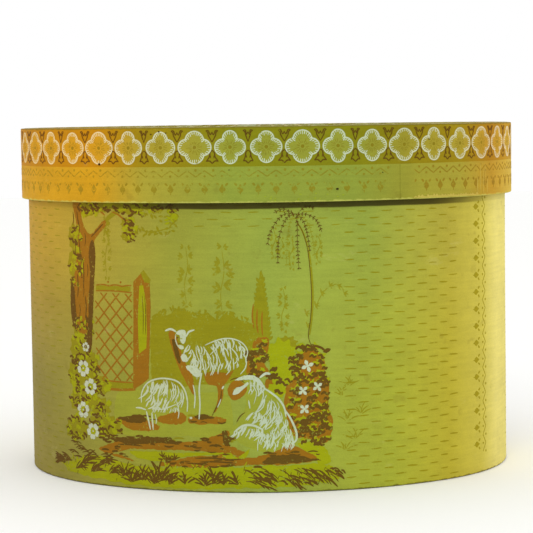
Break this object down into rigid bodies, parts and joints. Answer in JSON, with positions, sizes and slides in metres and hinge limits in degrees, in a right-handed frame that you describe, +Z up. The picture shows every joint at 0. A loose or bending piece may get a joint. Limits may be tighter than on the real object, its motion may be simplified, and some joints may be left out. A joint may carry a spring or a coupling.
{
  "type": "hat box",
  "caption": "Oval pasteboard hat box with a deep lift-off lid, covered in block-printed garden-scene paper with flower and drop borders.",
  "frame": {"origin": "middle of the base, on the surface that the box stands on", "axes": "+Z up through the lid, +X along the long axis to the right as seen from the front, and the front faces -Y"},
  "size_m": [0.432, 0.368, 0.2966],
  "materials": {
    "pasteboard": "matt",
    "linen_thread": "matt",
    "scenic_paper": "matt with printed distemper",
    "flower_border_paper": "matt with printed distemper",
    "drop_border_paper": "matt with printed distemper",
    "top_paper": "matt",
    "lining_paper": "matt",
    "plain_paper": "matt"
  },
  "bodies": {
    "box": {"base_board": "pasteboard", "wall_board": "pasteboard", "wall_lap_stitches": "linen_thread", "base_stitches": "linen_thread", "wall_cover_front": "scenic_paper", "wall_cover_back": "scenic_paper", "base_cover": "plain_paper", "wall_lining": "lining_paper", "base_lining": "lining_paper"},
    "lid": {"lid_board": "pasteboard", "lid_rim_board": "pasteboard", "lid_lap_stitches": "linen_thread", "lid_edge_stitches": "linen_thread", "lid_top_cover": "top_paper", "lid_upper_border": "flower_border_paper", "lid_lower_border_left": "drop_border_paper", "lid_lower_border_right": "drop_border_paper", "lid_top_lining": "lining_paper", "lid_rim_lining": "lining_paper"}
  },
  "joints": [
    {"name": "lid_lift", "type": "slide", "parent": "box", "child": "lid", "axis": [0, 0, 1], "range_m": [0, 0.18]}
  ]
}
